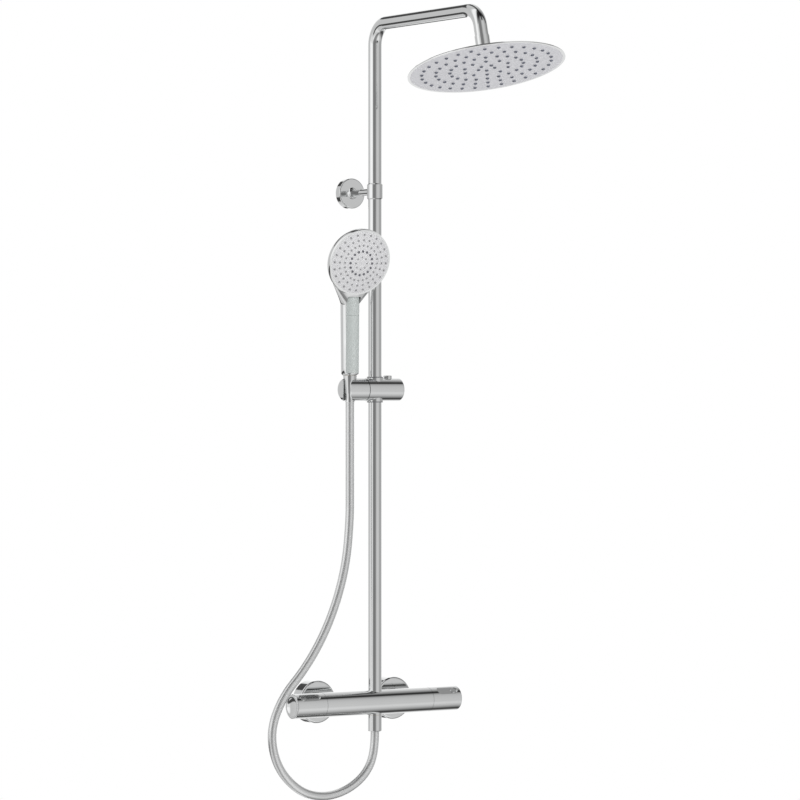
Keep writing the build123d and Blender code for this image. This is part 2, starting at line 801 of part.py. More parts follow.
with BuildPart() as slider_body:
    with BuildSketch(across_bar(-slider_seam, 1, slider_height)):
        Circle(slider_r)
    extrude(amount=slider_seam + slider_right)
    fillet(slider_body.faces().sort_by(Axis.X)[-1].edges(), slider_end_round)
    with BuildSketch(level(slider_height - boss_top)):
        Circle(slider_boss_dia / 2)
    extrude(amount=2 * boss_top)
    with BuildSketch(level(slider_height - boss_top)):
        Circle(bushing_dia / 2 + running_fit)
    extrude(amount=2 * boss_top, mode=Mode.SUBTRACT)
    with BuildSketch(across_bar(-slider_seam, 1, slider_height)):
        Circle(tilt_pin_dia / 2 + running_fit)
    extrude(amount=tilt_pin_length + clearance, mode=Mode.SUBTRACT)
    with BuildSketch(level(slider_height + release_floor, release_x)):
        Circle(release_dia / 2 + running_fit)
    extrude(amount=release_depth, mode=Mode.SUBTRACT)
save(slider_body, "slider_body")

release_foot = release_floor + release_travel + clearance
with BuildPart() as release_button:
    with BuildSketch(level(slider_height + release_foot, release_x)):
        Circle(release_dia / 2)
    extrude(amount=slider_r + release_proud - release_foot)
    fillet(release_button.faces().sort_by(Axis.Z)[-1].edges(), release_edge_round)
save(release_button, "release_button")

# ============================================================ tilting holder
washer_face = slider_seam + clearance
holder_face = washer_face + tilt_washer_thickness


def cone_section(grow=0.0):
    """Half outline of the hose's cone in its socket, widened by grow."""
    Polyline(
        (0, -cone_bottom),
        (cone_bottom_dia / 2 + grow, -cone_bottom),
        (cone_top_dia / 2 + grow, cone_top),
        (0, cone_top),
        close=True,
    )


socket_plane = Plane(
    origin=(-socket_x, -wall_gap, slider_height), x_dir=(1, 0, 0), z_dir=(0, -1, 0)
)
socket_axis = Axis((-socket_x, -wall_gap, slider_height), (0, 0, 1))

with BuildPart() as handset_holder:
    with BuildSketch(across_bar(-holder_face, -1, slider_height)):
        Circle(slider_r)
    extrude(amount=holder_left - holder_face)
    fillet(handset_holder.faces().sort_by(Axis.X)[0].edges(), holder_end_round)
    with BuildSketch(across_bar(-holder_face, 1, slider_height)):
        Circle(tilt_pin_dia / 2)
    extrude(amount=holder_face - slider_seam + tilt_pin_length)
    with BuildSketch(socket_plane):
        with BuildLine():
            cone_section(clearance)
        make_face()
    revolve(axis=socket_axis, mode=Mode.SUBTRACT)
    with BuildSketch(level(slider_height - slider_r, -socket_x)):
        Circle(cone_bottom_dia / 2 + clearance)
    extrude(amount=slider_r, mode=Mode.SUBTRACT)
    with BuildSketch(level(slider_height - slider_r, -socket_x)):
        with PolarLocations(slider_dia / 2, 1, start_angle=180 + slot_turn):
            Rectangle(slider_dia, holder_slot)
    extrude(amount=slider_dia, mode=Mode.SUBTRACT)
save(handset_holder, "handset_holder")

# Friction washer between the holder and the slider.
with BuildPart() as tilt_washer:
    with BuildSketch(across_bar(-washer_face, -1, slider_height)):
        Circle(tilt_washer_dia / 2)
        Circle(tilt_pin_dia / 2 + running_fit, mode=Mode.SUBTRACT)
    extrude(amount=tilt_washer_thickness)
save(tilt_washer, "tilt_washer")

# ============================================================ handset
# The hose's conical nut hangs in the socket. The handset turns on it and lifts out with it.
with BuildPart() as hose_cone:
    with BuildSketch(socket_plane):
        with BuildLine():
            cone_section()
        make_face()
    revolve(axis=socket_axis)
    with BuildSketch(level(hose_top, -socket_x)):
        Circle(ferrule_dia / 2)
    extrude(amount=ferrule_end - cone_bottom)
    with BuildSketch(level(hose_top, -socket_x)):
        Circle(hose_dia / 4)
    extrude(amount=ferrule_end + cone_top, mode=Mode.SUBTRACT)
    with BuildSketch(level(slider_height + cone_top, -socket_x)):
        Circle(thread_bore / 2)
    extrude(amount=-inlet_thread_length, mode=Mode.SUBTRACT)
save(hose_cone, "hose_cone")

with BuildPart() as handset_inlet:
    with BuildSketch(level(foot_height, -socket_x)):
        Circle(inlet_thread_dia / 2)
        Circle(hose_dia / 4, mode=Mode.SUBTRACT)
    extrude(amount=-(inlet_thread_length - clearance))
save(handset_inlet, "handset_inlet")

rest_turn = radians(handset_turn)
handset_out = Vector(-sin(rest_turn), -cos(rest_turn), 0)
handset_across = Vector(cos(rest_turn), -sin(rest_turn), 0)
handset_foot = Vector(-socket_x, -wall_gap, foot_height)
handle_section = Plane(origin=handset_foot, x_dir=handset_across, z_dir=handset_out)
spray_angle = radians(spray_tilt)
spray_out = handset_out * cos(spray_angle) - Vector(0, 0, sin(spray_angle))
spray_up = spray_out.cross(handset_across)
spray_centre = handset_foot + handset_out * spray_forward + Vector(0, 0, spray_height)
spray_axis = Axis(spray_centre, spray_out)
spray_plane = Plane(origin=spray_centre, x_dir=handset_across, z_dir=spray_out)
spray_section = Plane(
    origin=spray_centre, x_dir=handset_across, z_dir=handset_across.cross(spray_out)
)
neck_middle = spray_centre - spray_up * neck_end - spray_out * neck_depth
neck_back = neck_middle - spray_out * (neck_thickness / 2)
handle_back = handset_foot - handset_out * (handle_top_dia / 2) + Vector(0, 0, neck_start)
back_slope = neck_back - handle_back
select_foot = select_end - select_length
button_back = inlay_floor - select_travel - clearance
# The back of the head is a shallow crown that meets its rounded edge smoothly.
round_x = spray_body_dia / 2 - spray_back_round
round_y = spray_side + spray_back - spray_back_round
crown_y = (round_x**2 + spray_side**2 - round_y**2) / (2 * (spray_back - spray_back_round))
crown_turn = degrees(atan2(round_x, crown_y + spray_side))


def handle_solid():
    """Solid handle, which widens slightly from its chamfered foot to its rounded top."""
    with BuildSketch(handle_section) as outline:
        with BuildLine():
            side = Polyline(
                (0, 0),
                (handle_foot_dia / 2 - handle_foot_chamfer, 0),
                (handle_foot_dia / 2, handle_foot_chamfer),
                (handle_top_dia / 2, handle_length - handle_top_round),
            )
            shoulder = JernArc(side @ 1, (0, 1), handle_top_round, 90)
            Polyline(shoulder @ 1, (0, handle_length), (0, 0))
        make_face()
    revolve(outline.sketch, axis=socket_axis)


def front_slab(first, last, back, mode, grow=0.0):
    """Block in front of the handle's axis, between two heights above its foot."""
    middle = handset_foot + handset_out * back + Vector(0, 0, (first + last) / 2)
    with BuildSketch(Plane(origin=middle, x_dir=handset_across, z_dir=handset_out)) as slab:
        Rectangle(inlay_width + 2 * grow, last - first + 2 * grow)
    extrude(slab.sketch, amount=handle_top_dia, mode=mode)


# Handle, flared neck and dished head in one moulding, with a seat for the spray face, a flat for
# the inlay and a deeper pocket for the select button.
with BuildPart() as handset_body:
    handle_solid()
    with BuildSketch(
        Plane(
            origin=handle_back, x_dir=handset_across, z_dir=back_slope.cross(handset_across)
        )
    ):
        Rectangle(3 * handle_top_dia, 6 * handle_top_dia)
    extrude(amount=handle_length, mode=Mode.SUBTRACT)
    with BuildSketch(level(foot_height + neck_start, -socket_x)):
        Circle(handle_top_dia / 2 - neck_step)
    with BuildSketch(Plane(origin=neck_middle, x_dir=handset_across, z_dir=spray_up)):
        Ellipse(neck_width / 2, neck_thickness / 2)
    loft()
    front_slab(inlay_start, select_end, inlay_floor, Mode.SUBTRACT, running_fit)
    front_slab(select_foot, select_end, button_back, Mode.SUBTRACT, running_fit)
    with BuildSketch(spray_plane):
        Circle(spray_body_dia / 2)
    extrude(amount=handle_top_dia, mode=Mode.SUBTRACT)
    with BuildSketch(spray_section):
        with BuildLine():
            Polyline(
                (0, 0),
                (spray_rim_dia / 2, 0),
                (spray_body_dia / 2, -spray_side / 2),
                (spray_body_dia / 2, -spray_side),
            )
            CenterArc((round_x, -spray_side), spray_back_round, crown_turn - 90, 90 - crown_turn)
            CenterArc((0, crown_y), crown_y + spray_side + spray_back, -90, crown_turn)
            Line((0, -spray_side - spray_back), (0, 0))
        make_face()
    revolve(axis=spray_axis)
    with BuildSketch(spray_plane):
        Circle(spray_face_dia / 2 + running_fit)
    extrude(amount=-spray_seat_depth, mode=Mode.SUBTRACT)
save(handset_body, "handset_body")

with BuildPart() as handset_inlay:
    handle_solid()
    front_slab(inlay_start, select_foot - clearance, inlay_floor, Mode.INTERSECT)
save(handset_inlay, "handset_inlay")

with BuildPart() as select_button:
    handle_solid()
    front_slab(select_foot, select_end, inlay_floor, Mode.INTERSECT)
save(select_button, "select_button")

# Spray face: a shallow dome that stands out of the rim.
face_r = spray_face_dia / 2
dome_r = (face_r**2 + spray_face_rise**2) / (2 * spray_face_rise)
dome_middle = sqrt(dome_r**2 - (face_r / 2) ** 2) - (dome_r - spray_face_rise)
with BuildPart() as handset_face:
    with BuildSketch(spray_section):
        with BuildLine():
            back = Polyline(
                (0, spray_face_rise),
                (0, -spray_seat_depth),
                (face_r, -spray_seat_depth),
                (face_r, 0),
            )
            ThreePointArc(back @ 1, (face_r / 2, dome_middle), back @ 0)
        make_face()
    revolve(axis=spray_axis)
save(handset_face, "handset_face")

# Soft jets in five rings, each square to the dome.
dome_centre = spray_centre - spray_out * (dome_r - spray_face_rise)
with BuildPart() as handset_jets:
    for ring_r, count in jet_rings:
        for n in range(count):
            turn = 2 * pi * n / count
            sideways = handset_across * cos(turn) + spray_up * sin(turn)
            lean = asin(ring_r / dome_r)
            out = spray_out * cos(lean) + sideways * sin(lean)
            with BuildSketch(Plane(origin=dome_centre + out * dome_r, z_dir=out)):
                RegularPolygon(radius=jet_dia / 2, side_count=6)
            extrude(amount=jet_height, taper=jet_taper)
save(handset_jets, "handset_jets")

# ============================================================ hose
hose_route = [
    Vector(-socket_x, -wall_gap, hose_top),
    *[Vector(*corner) for corner in hose_corners],
    Vector(0, -wall_gap, hose_nut_end),
]
hose_radii = []
for before, corner, after in zip(hose_route, hose_route[1:], hose_route[2:]):
    turn = radians((corner - before).get_angle(after - corner))
    shorter = min((corner - before).length, (after - corner).length)
    hose_radii.append(0.45 * shorter * (1 + cos(turn)) / sin(turn))
print("hose bend radii:", [round(radius) for radius in hose_radii])

with BuildPart() as hose:
    with BuildLine() as hose_line:
        FilletPolyline(*hose_route, radius=hose_radii)
    with BuildSketch(level(hose_top, -socket_x)):
        Circle(hose_dia / 2)
    sweep()
hose_length = hose_line.wire().length
print("hose length:", round(hose_length, 1))
print("volume over section times length:", round(hose.part.volume / (pi * hose_dia**2 / 4 * hose_length), 4))
save(hose, "hose")
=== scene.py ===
# %% [markdown]
# # Dressing a wall-hung shower column
# The CAD part gives every rigid piece its place and size. This lesson dresses it: finishes for the
# chrome, the moulded plastic and the soft nozzles, the hose as a smooth tube, and the small forms
# that catch the eye up close. All lengths are in metres, +Z is up and -Y faces the user.

# %% The frame
import json
from math import asin, cos, pi, radians, sin

import bpy
from mathutils import Euler, Matrix, Vector


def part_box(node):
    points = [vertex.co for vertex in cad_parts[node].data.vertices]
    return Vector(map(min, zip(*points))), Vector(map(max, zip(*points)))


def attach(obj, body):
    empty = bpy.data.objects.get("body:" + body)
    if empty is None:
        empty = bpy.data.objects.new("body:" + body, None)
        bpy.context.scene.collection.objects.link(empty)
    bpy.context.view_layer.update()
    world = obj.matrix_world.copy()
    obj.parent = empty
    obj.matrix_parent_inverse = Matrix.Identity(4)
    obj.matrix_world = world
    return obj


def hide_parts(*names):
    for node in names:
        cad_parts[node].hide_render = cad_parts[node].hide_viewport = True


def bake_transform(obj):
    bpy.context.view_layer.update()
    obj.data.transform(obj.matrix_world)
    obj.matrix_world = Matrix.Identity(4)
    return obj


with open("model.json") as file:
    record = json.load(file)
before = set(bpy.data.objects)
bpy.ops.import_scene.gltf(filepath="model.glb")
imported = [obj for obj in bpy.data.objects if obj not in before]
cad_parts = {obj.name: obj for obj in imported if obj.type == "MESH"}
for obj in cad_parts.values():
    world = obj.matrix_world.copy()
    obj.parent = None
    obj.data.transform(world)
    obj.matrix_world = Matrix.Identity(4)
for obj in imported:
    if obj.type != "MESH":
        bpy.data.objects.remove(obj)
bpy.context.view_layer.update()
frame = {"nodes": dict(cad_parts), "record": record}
nodes = frame["nodes"]
bpy.ops.object.select_all(action="DESELECT")

# %% [markdown]
# ## A small language for shaders
# A node tree is easier to read as arithmetic than as a list of links. Wire stands for one output
# socket, and adding or multiplying wires adds the Math nodes. Tree.add makes any other node: its
# settings come first, then the values or wires of its sockets.


# %% Wires and trees
class Wire:
    """One output of a node. Arithmetic on it adds Math nodes."""

    def __init__(self, tree, socket):
        self.tree = tree
        self.socket = socket

    def math(self, operation, *values):
        return self.tree.add("ShaderNodeMath", {"operation": operation}, dict(enumerate(values)))

    def __add__(self, other):
        return self.math("ADD", self, other)

    def __sub__(self, other):
        return self.math("SUBTRACT", self, other)

    def __rsub__(self, other):
        return self.math("SUBTRACT", other, self)

    def __mul__(self, other):
        return self.math("MULTIPLY", self, other)

    __radd__ = __add__
    __rmul__ = __mul__


class Tree:
    """The node tree of a material or a world."""

    def __init__(self, owner):
        owner.use_nodes = True
        self.tree = owner.node_tree
        self.tree.nodes.clear()

    def add(self, kind, settings, inputs, output=0):
        node = self.tree.nodes.new(kind)
        for name, value in settings.items():
            if name == "stops":
                self.set_stops(node.color_ramp, value)
            else:
                setattr(node, name, value)
        for name, value in inputs.items():
            if isinstance(value, Wire):
                self.tree.links.new(value.socket, node.inputs[name])
            else:
                node.inputs[name].default_value = value
        return Wire(self, node.outputs[output]) if node.outputs else None

    def set_stops(self, ramp, stops):
        while len(ramp.elements) < len(stops):
            ramp.elements.new(1.0)
        for element, (place, colour) in zip(ramp.elements, stops):
            element.position = place
            element.color = (*colour, 1.0)


print("wires can be added, subtracted and multiplied")

# %% [markdown]
# ## Finishes
# Chrome is a mirror, and a perfect mirror looks like glass. Real plating has a slow ripple from
# polishing and a faint bloom of fingerprints and dried water, so roughness changes a little over
# the surface. Plated plastic is slightly less flat. Plastic and rubber get a colour that drifts by
# a few hundredths and a grain of their own size.

# %% One helper for every finish
drift_per_metre = 14.0
grain_height = 0.0004


def finish(name, dark, light, smooth, rough, grain, bump, **constants):
    """Material whose colour and roughness drift between two values, with its own grain per metre."""
    material = bpy.data.materials.new(name)
    tree = Tree(material)
    place = tree.add("ShaderNodeTexCoord", {}, {}, output="Object")
    drift = tree.add(
        "ShaderNodeTexNoise", {}, {"Vector": place, "Scale": drift_per_metre, "Detail": 3.0}
    )
    fine = tree.add("ShaderNodeTexNoise", {}, {"Vector": place, "Scale": grain, "Detail": 2.0})
    colour = tree.add(
        "ShaderNodeMix", {"data_type": "RGBA"}, {0: drift, 6: (*dark, 1), 7: (*light, 1)}, output=2
    )
    normal = tree.add(
        "ShaderNodeBump", {}, {"Strength": bump, "Distance": grain_height, "Height": fine}
    )
    inputs = {"Base Color": colour, "Roughness": drift * (rough - smooth) + smooth, "Normal": normal}
    shader = tree.add("ShaderNodeBsdfPrincipled", {}, {**inputs, **constants})
    tree.add("ShaderNodeOutputMaterial", {}, {"Surface": shader})
    return material


print("patches of drift are about", round(1 / drift_per_metre, 3), "m across")

# %% Metals and plated finishes
# Each row gives the darkest and lightest colour, the least and most roughness, the grain and its bump.
plate_dark = (0.79, 0.80, 0.80)
plate_light = (0.85, 0.855, 0.855)
finishes = {
    "chrome": finish("polished_chrome", plate_dark, plate_light, 0.03, 0.08, 60, 0.03, Metallic=1.0),
    "plated_plastic": finish(
        "plated_plastic", plate_dark, plate_light, 0.04, 0.09, 45, 0.04, Metallic=1.0
    ),
    "hose_sleeve": finish(
        "silver_sleeve", (0.75, 0.755, 0.755), (0.80, 0.805, 0.805), 0.24, 0.32, 90, 0.03, Metallic=0.85
    ),
    "brass": finish(
        "machined_brass", (0.64, 0.49, 0.24), (0.72, 0.57, 0.31), 0.25, 0.40, 700, 0.2, Metallic=1.0
    ),
    "steel": finish(
        "plain_steel", (0.52, 0.53, 0.54), (0.60, 0.61, 0.62), 0.25, 0.38, 600, 0.2, Metallic=1.0
    ),
}
print("metal finishes:", sorted(finishes))

# %% Plastics and rubbers
finishes |= {
    "seal": finish("black_seal", (0.02, 0.02, 0.02), (0.035, 0.035, 0.035), 0.5, 0.65, 900, 0.3),
    "bearing_plastic": finish(
        "bearing_plastic", (0.10, 0.10, 0.11), (0.13, 0.13, 0.14), 0.35, 0.5, 1100, 0.3
    ),
    "white_plastic": finish(
        "white_plastic", (0.78, 0.79, 0.80), (0.83, 0.84, 0.85), 0.3, 0.42, 1200, 0.2
    ),
    "spray_plate": finish(
        "spray_plate", (0.58, 0.58, 0.61), (0.63, 0.63, 0.66), 0.22, 0.34, 1500, 0.15
    ),
    "nozzle_rubber": finish(
        "nozzle_rubber", (0.13, 0.14, 0.18), (0.18, 0.19, 0.23), 0.45, 0.6, 1800, 0.3
    ),
    "inlay": finish("pale_inlay", (0.42, 0.45, 0.44), (0.47, 0.50, 0.49), 0.2, 0.3, 1400, 0.1),
    "spray_face": finish(
        "spray_face", (0.53, 0.53, 0.54), (0.58, 0.58, 0.59), 0.2, 0.3, 1400, 0.12
    ),
    "jet_rubber": finish("jet_rubber", (0.27, 0.27, 0.28), (0.33, 0.33, 0.34), 0.4, 0.55, 1800, 0.3),
}
print("finishes in all:", len(finishes))

# %% [markdown]
# ## Painting the part
# The record names a material slot for every node of the CAD part. A dictionary of finishes by slot
# paints all of them in one loop, so a seal deep inside gets its rubber as surely as the tube in front
# gets its chrome.

# %% Painting the CAD nodes
slot_of = {part["node"]: part["material_slot"] for part in frame["record"]["subparts"]}
for name, node in nodes.items():
    node.data.materials.clear()
    node.data.materials.append(finishes[slot_of[name]])
print("painted nodes:", len(nodes))

# %% [markdown]
# ## At the bench
# The soft nozzles and the caps are too small to matter in the CAD, and they are what the eye meets
# up close. Each is shaped once from a primitive, as by hand, pointing up. Then its copies are set out
# on the part and joined into one piece that rides with its body.

# %% Bench helpers
bpy.context.scene.tool_settings.mesh_select_mode = (False, False, True)


def pick(piece, wanted):
    """Opens a piece for editing with only those faces selected that pass a test."""
    bpy.ops.object.mode_set(mode="OBJECT")
    mesh = piece.data
    mesh.vertices.foreach_set("select", [False] * len(mesh.vertices))
    mesh.edges.foreach_set("select", [False] * len(mesh.edges))
    for face in mesh.polygons:
        face.select = wanted(face)
    bpy.ops.object.mode_set(mode="EDIT")


def on_top(face):
    """True for a face that looks up."""
    return face.normal.z > 0.9


def pull(distance, scale=1.0):
    """Extrudes the selected faces upwards and scales their far end."""
    bpy.ops.mesh.extrude_region_move(TRANSFORM_OT_translate={"value": (0, 0, distance)})
    bpy.ops.transform.resize(value=(scale, scale, 1))


def facing(point, direction, size=1.0):
    """Place of a copy whose top looks along a direction."""
    turn = direction.to_track_quat("Z", "Y").to_matrix().to_4x4()
    return Matrix.Translation(point) @ turn @ Matrix.Scale(size, 4)


def set_out(shape, places, name, body, slot, *replaced, look=None, crease=40):
    """Copies a shape to each place, joins the copies and lets them ride on a body."""
    bpy.ops.object.select_all(action="DESELECT")
    for place in places:
        copy = shape.copy()
        copy.data = shape.data.copy()
        copy.matrix_world = place
        bpy.context.collection.objects.link(copy)
        copy.select_set(True)
    bpy.context.view_layer.objects.active = copy
    if len(places) > 1:
        bpy.ops.object.join()
    bpy.ops.object.transform_apply(location=True, rotation=True, scale=True)
    bpy.ops.object.shade_smooth_by_angle(angle=radians(crease))
    piece = bpy.context.object
    piece.name = name
    piece.data.materials.append(look or finishes[slot])
    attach(piece, body)
    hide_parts(*replaced)
    print(name, "faces:", len(piece.data.polygons))


print("the bench picks by vertex, edge, face:", tuple(bpy.context.scene.tool_settings.mesh_select_mode))

# %% [markdown]
# ## The handset's moulding
# The back of the handset is one plated moulding, a shallow crown that a neck flares into. The frame
# holds it as loose triangles, and at the tip of the crown their shading breaks. So a copy of it is
# closed up and shaded afresh, with its creases kept. It stands in for the node and keeps its shape.

# %% Moulding
same_point = 0.00001
bpy.ops.object.select_all(action="DESELECT")
moulding = nodes["handset_body"].copy()
moulding.data = nodes["handset_body"].data.copy()
moulding.data.materials.clear()
bpy.context.collection.objects.link(moulding)
moulding.select_set(True)
bpy.context.view_layer.objects.active = moulding
bpy.ops.mesh.customdata_custom_splitnormals_clear()
bpy.ops.object.mode_set(mode="EDIT")
bpy.ops.mesh.select_all(action="SELECT")
bpy.ops.mesh.remove_doubles(threshold=same_point)
bpy.ops.mesh.normals_make_consistent(inside=False)
bpy.ops.object.mode_set(mode="OBJECT")
set_out(
    moulding, [Matrix()], "handset_moulding", "handset", "plated_plastic", "handset_body", crease=55
)
bpy.data.objects.remove(moulding)

# %% [markdown]
# ## Nozzles of the rain head
# A silicone nozzle is a low collar with a short cone on it and a jet hole in its tip. People rub it
# to break the lime out, so it stands proud of the plate. The handset's jets are smaller ones of the
# same form, so one helper shapes both. In the rain head ninety of them stand in five rings of 5, 10,
# 20, 25 and 30.

# %% One rain nozzle
cone_narrows = 0.85
hole_narrows = 0.9


def soft_nozzle(sides, radius, collar, middle, shoulder, cone, lip, hole):
    """A collar with its middle at a height, a cone behind its shoulder, and a hole inside a lip."""
    bpy.ops.mesh.primitive_cylinder_add(
        vertices=sides, radius=radius, depth=collar, location=(0, 0, middle)
    )
    shape = bpy.context.object
    pick(shape, on_top)
    bpy.ops.mesh.inset(thickness=shoulder)
    pull(cone, cone_narrows)
    bpy.ops.mesh.inset(thickness=lip)
    pull(-hole, hole_narrows)
    bpy.ops.object.mode_set(mode="OBJECT")
    print("faces on one nozzle:", len(shape.data.polygons))
    return shape


nozzle = soft_nozzle(
    sides=12,
    radius=0.0031,
    collar=0.0003,
    middle=0.00015,
    shoulder=0.0004,
    cone=0.0014,
    lip=0.0007,
    hole=0.0009,
)

# %% Five rings of them
head_tilt = radians(14)
head_up = Vector((0, sin(head_tilt), cos(head_tilt)))
head_back = Vector((0, cos(head_tilt), -sin(head_tilt)))
plate_low, plate_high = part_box("rain_head_face")
plate_thickness = 0.0012
plate_face = (plate_low + plate_high) / 2 - head_up * plate_thickness / 2
first_ring = 0.0134
ring_pitch = 0.0224
for ring, count in enumerate((5, 10, 20, 25, 30)):
    radius = first_ring + ring * ring_pitch
    turns = [2 * pi * n / count - pi / 2 for n in range(count)]
    spots = [plate_face + radius * (Vector((cos(a), 0, 0)) + head_back * sin(a)) for a in turns]
    set_out(
        nozzle,
        [facing(spot, -head_up) for spot in spots],
        f"rain_nozzles_ring_{ring + 1}",
        "rain_head",
        "nozzle_rubber",
        "rain_nozzles",
    )
bpy.data.objects.remove(nozzle)

# %% [markdown]
# ## Jets of the handset
# The handset's face is a shallow dome, so each jet leans out with it. The second ring has the larger,
# darker jets of the strong spray.

# %% One jet
jet = soft_nozzle(
    sides=10,
    radius=0.0018,
    collar=0.0004,
    middle=0,
    shoulder=0.0002,
    cone=0.0006,
    lip=0.0005,
    hole=0.0005,
)

# %% The dome of the spray face
handset_x = -0.049
column_y = -0.079
handset_turn = radians(5)
handset_out = Vector((-sin(handset_turn), -cos(handset_turn), 0))
handset_across = Vector((cos(handset_turn), -sin(handset_turn), 0))
spray_tilt = radians(18)
spray_out = handset_out * cos(spray_tilt) - Vector((0, 0, sin(spray_tilt)))
spray_up = spray_out.cross(handset_across)
spray_forward = 0.035
spray_height = 0.1833
handset_foot = Vector((handset_x, column_y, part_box("handset_body")[0][2]))
spray_centre = handset_foot + handset_out * spray_forward + Vector((0, 0, spray_height))
face_radius = 0.0515
face_rise = 0.0053
dome_radius = (face_radius**2 + face_rise**2) / (2 * face_rise)
dome_centre = spray_centre - spray_out * (dome_radius - face_rise)
print("radius of the dome:", round(dome_radius, 4))

# %% Five rings on the dome
strong_ring = 1
strong_jets = finish(
    "strong_jet_rubber", (0.12, 0.12, 0.14), (0.17, 0.17, 0.19), 0.4, 0.55, 1800, 0.3
)
# Each ring has its radius, its number of jets and their size.
jet_rings = (
    (0.0101, 8, 0.8),
    (0.0199, 16, 1.2),
    (0.0295, 24, 0.95),
    (0.0383, 24, 1.0),
    (0.0469, 24, 1.05),
)
for ring, (radius, count, size) in enumerate(jet_rings):
    places = []
    for n in range(count):
        around = 2 * pi * n / count
        sideways = handset_across * cos(around) + spray_up * sin(around)
        lean = asin(radius / dome_radius)
        out = spray_out * cos(lean) + sideways * sin(lean)
        places.append(facing(dome_centre + out * dome_radius, out, size))
    look = strong_jets if ring == strong_ring else None
    name = f"handset_jets_ring_{ring + 1}"
    set_out(jet, places, name, "handset", "jet_rubber", "handset_jets", look=look)
bpy.data.objects.remove(jet)

# %% [markdown]
# ## Caps of the two controls
# Each control ends in a dished cap inside the knob's rim. The dish catches the room from a wide
# angle: the window makes a bright crescent on one side of it. It is sunk in rings whose slope eases
# towards the middle, as a turned dish is, and its rim stands up almost to the knob's end.

# %% One cap
cap_radius = 0.0164
cap_thickness = 0.0023
cap_stands_up = 0.0012
cap_rim = 0.0010
dish_depth = 0.0030
dish_rings = 10
dish_middle = 0.02
dish_power = 3
bpy.ops.mesh.primitive_cylinder_add(
    vertices=64,
    radius=cap_radius,
    depth=cap_thickness + cap_stands_up,
    location=(0, 0, (cap_stands_up - cap_thickness) / 2),
)
cap = bpy.context.object
pick(cap, on_top)
bpy.ops.mesh.inset(thickness=cap_rim)
for step in range(dish_rings):
    outer = 1 - step / dish_rings
    inner = max(1 - (step + 1) / dish_rings, dish_middle)
    sinks = dish_depth * (outer**dish_power - inner**dish_power)
    bpy.ops.mesh.inset(thickness=(cap_radius - cap_rim) * (outer - inner))
    bpy.ops.transform.translate(value=(0, 0, -sinks))
bpy.ops.object.mode_set(mode="OBJECT")
print("faces on one cap:", len(cap.data.polygons))

# %% A cap on each control
for name, side in (("flow", -1), ("temperature", 1)):
    low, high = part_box(f"{name}_cap")
    middle = (low + high) / 2
    middle.x = low.x if side < 0 else high.x
    place = facing(middle, Vector((side, 0, 0)))
    set_out(cap, [place], f"{name}_dished_cap", f"{name}_control", "plated_plastic", f"{name}_cap")
bpy.data.objects.remove(cap)

# %% [markdown]
# ## The hose
# The hose is a smooth silver sleeve. It hangs straight down from the cone under the handset, swings
# out to the user's left and comes up into the nut under the bar. A NURBS curve follows its corner
# points, as the CAD's tube does. Read with no bevel, that curve is the hose's line, and with a round
# bevel it becomes a tube of mesh that stands in for the CAD's hose. On the real column its lower end
# stays in the nut while its upper end goes up and down with the slider on the riser, and the stretch
# between the height of the inlets and the hose's top takes up the difference.

# %% The line of the hose
hose_diameter = 0.014
hose_top = (handset_x, column_y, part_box("hose")[1][2])
hose_end = (0.0, column_y, -0.0472)
hose_straight = [(handset_x, column_y, 0.392), (handset_x, column_y, 0.345)]
hose_corners = [
    (-0.049, -0.079, 0.302),
    (-0.057, -0.081, 0.232),
    (-0.078, -0.086, 0.170),
    (-0.109, -0.092, 0.112),
    (-0.147, -0.096, 0.061),
    (-0.191, -0.097, 0.017),
    (-0.213, -0.095, -0.038),
    (-0.197, -0.091, -0.096),
    (-0.153, -0.086, -0.137),
    (-0.106, -0.083, -0.150),
    (-0.059, -0.080, -0.143),
    (-0.020, -0.079, -0.120),
    (0.000, -0.079, -0.084),
]
route = [hose_top, *hose_straight, *hose_corners, hose_end]
hose_curve = bpy.data.curves.new("hose_line", "CURVE")
hose_curve.dimensions = "3D"
hose_curve.resolution_u = 12
spline = hose_curve.splines.new("NURBS")
spline.points.add(len(route) - 1)
for point, place in zip(spline.points, route):
    point.co = (*place, 1.0)
spline.order_u = 3
spline.use_endpoint_u = True
hose_line = bpy.data.objects.new("hose_line", hose_curve)
bpy.context.collection.objects.link(hose_line)
line_points = [tuple(vertex.co) for vertex in bpy.data.meshes.new_from_object(hose_line).vertices]
print("points along the hose:", len(line_points))

# %% The hose's tube
hose_curve.bevel_depth = hose_diameter / 2
hose_curve.bevel_resolution = 10
hose_curve.use_fill_caps = True
hose = bpy.data.objects.new("shower_hose", bpy.data.meshes.new_from_object(hose_line))
bpy.context.collection.objects.link(hose)
bpy.data.objects.remove(hose_line)
hose.data.materials.clear()
hose.data.materials.append(finishes["hose_sleeve"])
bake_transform(hose)
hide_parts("hose")
print("faces on the hose:", len(hose.data.polygons))

# %% [markdown]
# ## The studio
# Polished metal shows the room around it. In a plain white room chrome looks like white paint, so
# this room is built as a product studio is. Pale walls stand all round, with a tall window on the
# left above eye level and a dim side behind the camera. A dark card hangs in front of the bar above
# it and another lies below it, and they draw the dark line along the top and bottom of every round
# edge. Three small cards do the same for the arm and for the rims of the discs: a high one and a top
# one at the back, and a low one on the left. Only glossy rays see all this: the camera sees white,
# and matt surfaces get even light.

# %% Directions in the room
view_turn = radians(34)
towards_camera = Vector((-sin(view_turn), -cos(view_turn), 0))
camera_right = Vector((cos(view_turn), -sin(view_turn), 0))
world = bpy.data.worlds.new("studio")
bpy.context.scene.world = world
room = Tree(world)
direction = room.add("ShaderNodeTexCoord", {}, {})


def along(axis):
    """How far the direction points along an axis."""
    return room.add(
        "ShaderNodeVectorMath", {"operation": "DOT_PRODUCT"}, {0: direction, 1: axis}, output=1
    )


